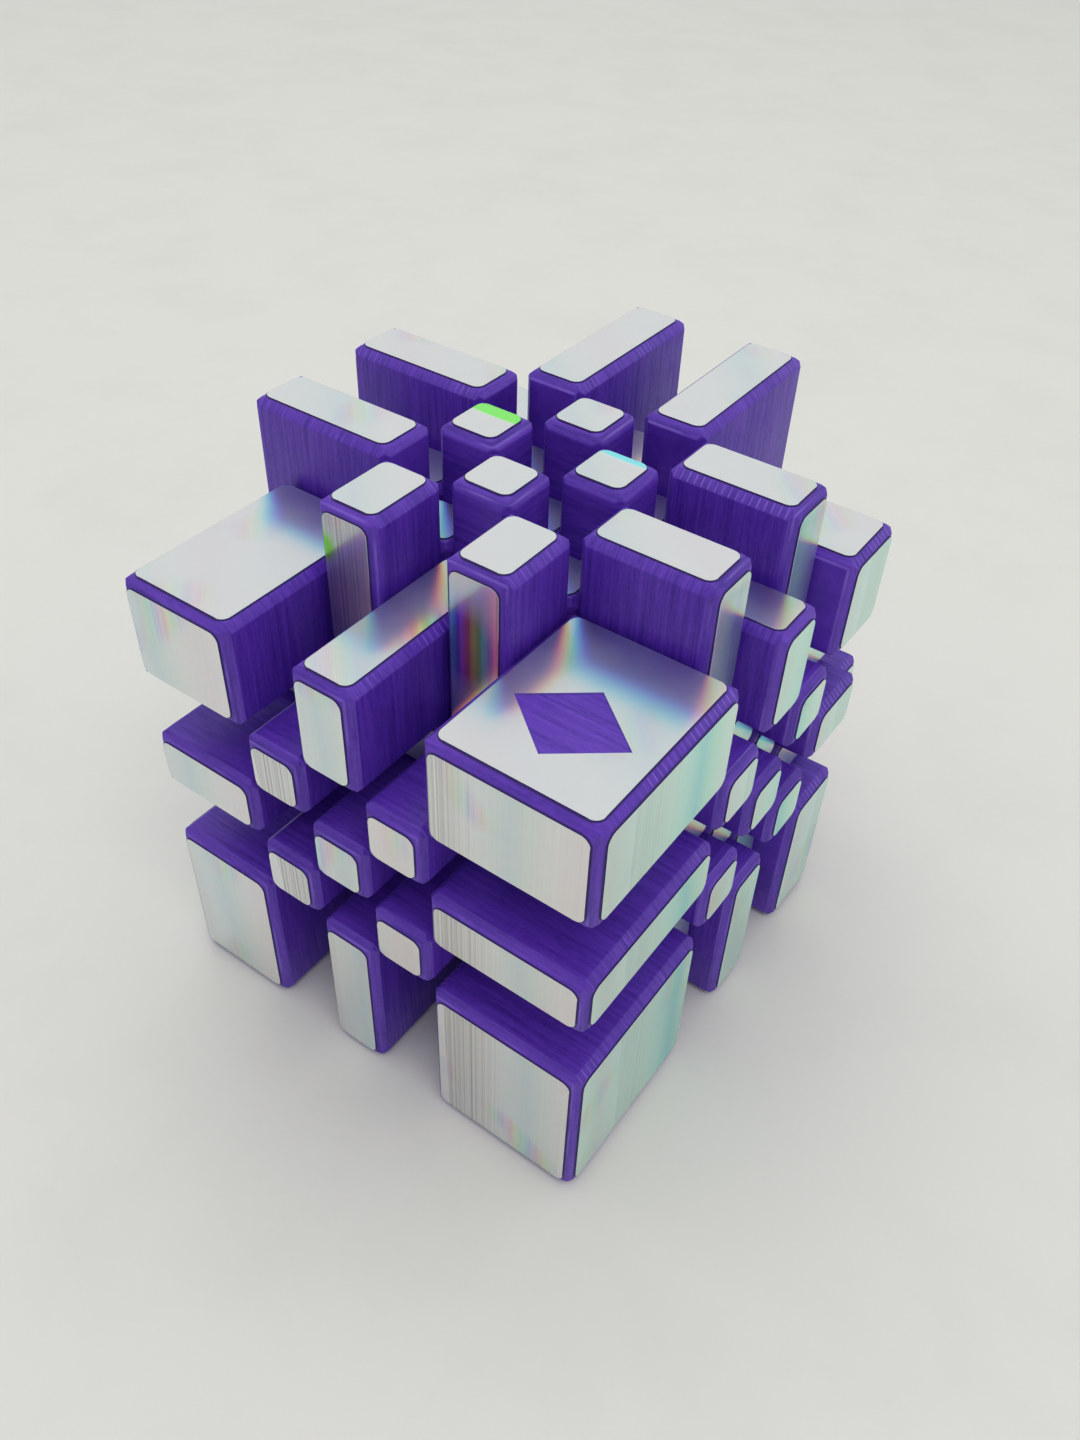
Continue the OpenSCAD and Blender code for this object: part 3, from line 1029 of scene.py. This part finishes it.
@dataclass
class StickerSet:
    """The foil stickers of one CAD node: round-cornered foil on a dark rim of painted shade.

    Each sticker stands on a foot sunk into its block. Inside the rim the foil rises, leaning
    in by its slope, to a lip that rounds it off. Every face of the foil lies within
    foil_depth of the sticker's level.
    """

    node: str
    body: str
    rim: float = 0.18 * MM
    rim_height: float = 0.06 * MM
    foot: float = 0.2 * MM
    corner: float = 1.8 * MM
    corner_segments: int = 6
    slope: float = 0.01 * MM
    lip: float = 0.04 * MM
    foil_depth: float = 0.08 * MM

    def build(self, finishes: Finishes) -> None:
        """Builds, dresses and hands over the set.

        Args:
            finishes: The puzzle's materials.
        """
        plates = self.measure()
        piece = self.lay_out(plates)
        self.raise_plates(piece, plates)
        piece.data.materials.append(finishes.foil)
        piece.data.materials.append(finishes.rim)
        self.dress(piece, plates)
        self.finish(piece)
        hand_over(piece, self.body, Slot.FOIL, self.node)

    def finish(self, piece: Object) -> None:
        """Does nothing more to a plain set."""

    def measure(self) -> list[Plate]:
        """Reads the box of each sticker from the CAD node.

        Returns:
            One plate for each sticker.
        """
        parts = copy_of_node(self.node, self.node + "_boxes")
        with editing(parts, "FACE"):
            bpy.ops.mesh.separate(type="LOOSE")
        plates = []
        for part in list(bpy.context.selected_objects):
            spans = list(zip(*part.bound_box))
            plates.append(Plate(Vector([min(span) for span in spans]),
                                Vector([max(span) for span in spans])))
        bpy.ops.object.delete()
        return plates

    def lay_out(self, plates: list[Plate]) -> Object:
        """Adds a flat rectangle for each sticker, sunk into its block.

        Args:
            plates: The stickers' boxes.

        Returns:
            The new piece.
        """
        bpy.ops.object.select_all(action="DESELECT")
        bpy.ops.mesh.primitive_plane_add(size=1, location=(0, 0, 0))
        piece = bpy.context.active_object
        piece.name = piece.data.name = self.node + "_cut"
        with editing(piece, "VERT"):
            bpy.ops.mesh.delete(type="VERT")
            for plate in plates:
                size = plate.size
                depth = -self.foot - size[plate.axis] / 2
                middle = (plate.low + plate.high) / 2 + plate.outward * depth
                turn = plate.outward.to_track_quat("Z", "Y").to_euler()
                bpy.ops.mesh.primitive_plane_add(size=1, location=middle, rotation=turn)
                scale = [1.0 if n == plate.axis else size[n] + 2 * self.rim for n in range(3)]
                bpy.ops.transform.resize(value=scale, center_override=middle)
        return piece

    def raise_plates(self, piece: Object, plates: list[Plate]) -> None:
        """Rounds the corners, then raises each rim and the foil inside it.

        Args:
            piece: The piece as laid out.
            plates: The stickers' boxes.
        """
        thickness = min(plates[0].size)
        with editing(piece, "VERT"):
            bpy.ops.mesh.bevel(offset=self.corner, segments=self.corner_segments,
                               affect="VERTICES", clamp_overlap=True)
            bpy.ops.mesh.select_mode(type="FACE")
            bpy.ops.mesh.select_all(action="SELECT")
            bpy.ops.mesh.extrude_region_shrink_fatten(
                TRANSFORM_OT_shrink_fatten={"value": self.foot + self.rim_height})
            for inset, rise in ((self.rim, 0.0),
                                (self.slope, thickness - self.rim_height - self.lip),
                                (self.lip, self.lip)):
                bpy.ops.mesh.inset(thickness=inset, depth=rise, use_individual=True)
            bpy.ops.mesh.select_all(action="SELECT")
            bpy.ops.mesh.normals_make_consistent(inside=False)

    def dress(self, piece: Object, plates: list[Plate]) -> None:
        """Gives the foil to what stands above the rim, and the rim's finish, a painted shade, to
        the rest.

        Args:
            piece: The raised piece, with the foil as its first material.
            plates: The stickers' boxes.
        """
        levels = {(plate.axis, plate.side): [] for plate in plates}
        for plate in plates:
            outer = (plate.high if plate.side > 0 else plate.low)[plate.axis]
            levels[plate.axis, plate.side].append(outer)
        for face in piece.data.polygons:
            axis = max(range(3), key=lambda n: abs(face.normal[n]))
            key = (axis, math.copysign(1.0, face.normal[axis]))
            near = [abs(face.center[axis] - level) for level in levels.get(key, [])]
            face.material_index = 0 if near and min(near) < self.foil_depth else 1


@dataclass
class WindowedStickerSet(StickerSet):
    """A set of stickers where one corner's foil has a diamond window over its block."""

    window_length: float = 20 * MM
    window_width: float = 16 * MM
    window_shift: float = 3.5 * MM
    window_depth: float = 2 * MM

    def finish(self, piece: Object) -> None:
        """Cuts the window into the foil of the corner at the front right.

        Args:
            piece: The dressed piece.
        """
        low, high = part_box("top_corners")
        top = max(vertex.co.z for vertex in piece.data.vertices
                  if vertex.co.x > CORNER_START and vertex.co.y < -CORNER_START)
        centre = Vector(((high.x + CORNER_START) / 2,
                         (low.y - CORNER_START) / 2 - self.window_shift, top))
        bpy.ops.object.select_all(action="DESELECT")
        bpy.ops.mesh.primitive_cylinder_add(vertices=4, radius=0.5, depth=self.window_depth,
                                            location=centre)
        cutter = bpy.context.active_object
        with editing(cutter, "VERT"):
            bpy.ops.transform.resize(value=(self.window_length, self.window_width, 1.0),
                                     center_override=centre)
        take_up(piece)
        cut = piece.modifiers.new("window", "BOOLEAN")
        cut.operation = "DIFFERENCE"
        cut.solver = "EXACT"
        cut.object = cutter
        bpy.ops.object.modifier_apply(modifier=cut.name)
        bpy.data.objects.remove(cutter)


# --- Mechanism ---


@dataclass
class SpringSet:
    """The six coil springs under the screws' heads.

    One is wound on the arm that points up, from its start to its end. A quarter turn about
    an axis, or two, takes it to each of the other arms.
    """

    coil_radius: float = 2.1 * MM
    wire_radius: float = 0.3 * MM
    turns: int = 5
    steps: int = 32
    wire_points: int = 10
    start: float = 10.05 * MM
    end: float = 20.15 * MM
    quarters: tuple[tuple[str, int], ...] = (("X", 2), ("Y", 1), ("Y", -1), ("X", 1), ("X", -1))

    def build(self, finishes: Finishes) -> None:
        """Winds one spring, copies it to all six arms, and hands it over.

        Args:
            finishes: The puzzle's materials.
        """
        spring = self.wind()
        others = []
        for axis, quarters in self.quarters:
            take_up(spring)
            bpy.ops.object.duplicate(linked=False)
            other = bpy.context.active_object
            other.data.transform(Matrix.Rotation(quarters * math.pi / 2, 4, axis))
            others.append(other)
        take_up(spring)
        for other in others:
            other.select_set(True)
        bpy.ops.object.join()
        spring.name = spring.data.name = "core_springs_wound"
        spring.data.materials.append(finishes.steel)
        hand_over(spring, "middle_slice", Slot.STEEL, "core_springs")

    def wind(self) -> Object:
        """Winds a wire's round section up and round the Z axis, and closes its ends.

        Returns:
            The spring on the arm that points up.
        """
        bpy.ops.object.select_all(action="DESELECT")
        bpy.ops.mesh.primitive_circle_add(
            vertices=self.wire_points, radius=self.wire_radius, location=(0, 0, 0),
            rotation=(math.pi / 2, 0, 0))
        spring = bpy.context.active_object
        bpy.ops.object.transform_apply(location=True, rotation=True, scale=True)
        spring.data.transform(Matrix.Translation(
            (self.coil_radius, 0, self.start + self.wire_radius)))
        screw = spring.modifiers.new("wind", "SCREW")
        screw.axis = "Z"
        screw.angle = math.tau
        screw.screw_offset = (self.end - self.start - 2 * self.wire_radius) / self.turns
        screw.iterations = self.turns
        screw.steps = screw.render_steps = self.steps
        screw.use_merge_vertices = False
        bpy.ops.object.modifier_apply(modifier=screw.name)
        with editing(spring, "EDGE", "DESELECT"):
            bpy.ops.mesh.select_non_manifold()
            bpy.ops.mesh.fill_holes(sides=self.wire_points)
            bpy.ops.mesh.select_all(action="SELECT")
            bpy.ops.mesh.normals_make_consistent(inside=False)
        return spring


def dress_nodes(finishes: Finishes) -> None:
    """Gives the CAD nodes that stay their finishes.

    Args:
        finishes: The puzzle's materials.
    """
    own = {"core_spider": finishes.core, "core_screws": finishes.steel,
           "core_washers": finishes.steel}
    for name, node in frame["nodes"].items():
        if node.hide_render:
            continue
        # Nodes without their own finish take the darker violet of painted shade.
        material = own.get(name, finishes.inner)
        for index in range(len(node.data.materials)):
            node.data.materials[index] = material
        log.info("%s: CAD node, %s", name, material.name)


# --- Stage ---


@dataclass
class Camera:
    """The camera: its place, the way it looks and its roll, in degrees, and its lens."""

    place: Vector = field(default_factory=lambda: Vector((101.4, -148.0, 154.2)) * MM)
    azimuth: float = 34.22
    elevation: float = 42.19
    roll: float = 2.34
    lens: float = 30.78
    sensor: float = 36.0
    nearest: float = 10 * MM

    def build(self) -> None:
        """Adds the camera to the scene."""
        data = bpy.data.cameras.new("camera")
        data.lens = self.lens
        data.sensor_width = self.sensor
        data.clip_start = self.nearest
        camera = bpy.data.objects.new("camera", data)
        bpy.context.scene.collection.objects.link(camera)
        turn, lift = math.radians(self.azimuth), math.radians(self.elevation)
        back = Vector((math.sin(turn) * math.cos(lift), -math.cos(turn) * math.cos(lift),
                       math.sin(lift)))
        level = back.to_track_quat("Z", "Y").to_matrix().to_4x4()
        camera.matrix_world = (Matrix.Translation(self.place) @ level
                               @ Matrix.Rotation(math.radians(self.roll), 4, "Z"))
        bpy.context.scene.camera = camera
        log.info("camera at %s", tuple(round(part, 4) for part in self.place))


@dataclass(frozen=True)
class FloorFinish:
    """A pale floor of fine beads, with faint marks."""

    name: str = "pale_floor"
    light: Colour = from_screen(226, 225, 221)
    dark: Colour = from_screen(222, 221, 217)
    roughness: float = 0.75
    specular: float = 0.2
    bead_scale: float = 260.0
    bead_seam: float = 0.15
    wear_size: float = 40.0
    bump: float = 0.05
    bump_depth: float = 0.2

    def make(self, effects: Effects) -> Material:
        """Builds the material.

        Args:
            effects: The shared node groups.

        Returns:
            The material.
        """
        material, tree = start_material(self.name)
        place = tree.add("TexCoord").outputs["Object"]
        beads = tree.put(tree.add("TexVoronoi", feature="DISTANCE_TO_EDGE"), Vector=place,
                         Scale=self.bead_scale).outputs[0]
        worn = effects.worn(tree, place, self.wear_size)
        shader = tree.put(
            tree.add("BsdfPrincipled"), Roughness=self.roughness,
            Specular_IOR_Level=self.specular,
            Base_Color=tree.blend(worn, rgba(self.light), rgba(self.dark)),
            Normal=tree.bump(tree.spread(beads, 0.0, self.bead_seam), self.bump,
                             self.bump_depth))
        tree.end(shader.outputs[0])
        return material


@dataclass(frozen=True)
class Lamp:
    """A square soft lamp that shines at the puzzle, in metres and watts."""

    name: str
    place: Triple
    size: float
    power: float

    def hang(self) -> None:
        """Adds the lamp to the scene. It doesn't show in mirrors."""
        data = bpy.data.lights.new(self.name, "AREA")
        data.size = self.size
        data.energy = self.power
        lamp = bpy.data.objects.new(self.name, data)
        lamp.visible_glossy = False
        bpy.context.scene.collection.objects.link(lamp)
        away = Vector(self.place)
        lamp.matrix_world = (Matrix.Translation(away)
                             @ away.to_track_quat("Z", "Y").to_matrix().to_4x4())


@dataclass
class Studio:
    """A plain pale floor under soft light."""

    floor_half: float = 8.0
    floor_gap: float = 0.05 * MM
    sky_back: Colour = (0.815, 0.825, 0.81)
    sky_front: Colour = (0.46, 0.46, 0.455)
    sky_towards: Triple = (-0.2, 0.72, 0.66)
    sky_span: tuple[float, float] = (-0.6, 0.8)
    lamps: tuple[Lamp, ...] = (
        Lamp("lamp_above", (-0.3, 0.2, 1.1), 1.0, 2.4),
        Lamp("lamp_front", (0.38, -0.34, 0.95), 0.5, 2.0),
    )

    def build(self, effects: Effects) -> None:
        """Builds the floor, the sky and the lamps.

        Args:
            effects: The shared node groups.
        """
        self.lay_floor(effects)
        self.light_sky()
        for lamp in self.lamps:
            lamp.hang()
        bpy.context.scene.view_settings.view_transform = "Standard"

    def lay_floor(self, effects: Effects) -> None:
        """Lays the floor just under the puzzle.

        Args:
            effects: The shared node groups.
        """
        bpy.ops.object.select_all(action="DESELECT")
        bpy.ops.mesh.primitive_plane_add(size=2 * self.floor_half,
                                         location=(0, 0, CAD_BOUNDS[0].z - self.floor_gap))
        floor = bpy.context.active_object
        floor.name = "floor"
        bpy.ops.object.transform_apply(location=True, rotation=True, scale=True)
        floor.data.materials.append(FloorFinish().make(effects))

    def light_sky(self) -> None:
        """Lights the scene softly from all round, and most from above and behind."""
        world = bpy.data.worlds.new("studio")
        bpy.context.scene.world = world
        world.use_nodes = True
        tree = Tree(world.node_tree)
        towards = tree.measured("DOT_PRODUCT", tree.add("TexCoord").outputs["Generated"],
                                self.sky_towards)
        colour = tree.blend(tree.spread(towards, *self.sky_span), rgba(self.sky_front),
                            rgba(self.sky_back))
        tree.end(tree.fed("Background", colour), "OutputWorld")


# --- The puzzle ---

BODY_OF_LAYER = {"top": "top_layer", "upper": "upper_slice", "middle": "middle_slice",
                 "lower": "lower_slice", "bottom": "bottom_layer"}
BLOCK_KINDS = ("t_centres", "x_centres", "midges", "wings", "corners", "centre_cap",
               "centre_caps")
STICKER_KINDS = ("stickers", "side_stickers", "face_stickers")
WINDOWED_NODE = "top_face_stickers"


@dataclass
class TurningLayer:
    """One of the five layers: its blocks and their stickers."""

    name: str

    def build(self, finishes: Finishes) -> None:
        """Builds every block set and sticker set of the layer.

        Args:
            finishes: The puzzle's materials.
        """
        body = BODY_OF_LAYER[self.name]
        for kind in BLOCK_KINDS + STICKER_KINDS:
            node = f"{self.name}_{kind}"
            if node not in frame["nodes"]:
                continue
            maker = BlockSet if kind in BLOCK_KINDS else StickerSet
            if node == WINDOWED_NODE:
                maker = WindowedStickerSet
            maker(node, body).build(finishes)


def main() -> None:
    """Builds the stage and the puzzle, and reports each piece."""
    logging.basicConfig(level=logging.INFO, format="%(message)s", stream=sys.stdout)
    effects = Effects()
    finishes = Finishes(effects)
    Camera().build()
    Studio().build(effects)
    for name in BODY_OF_LAYER:
        TurningLayer(name).build(finishes)
    SpringSet().build(finishes)
    dress_nodes(finishes)


if __name__ == "__main__":
    main()
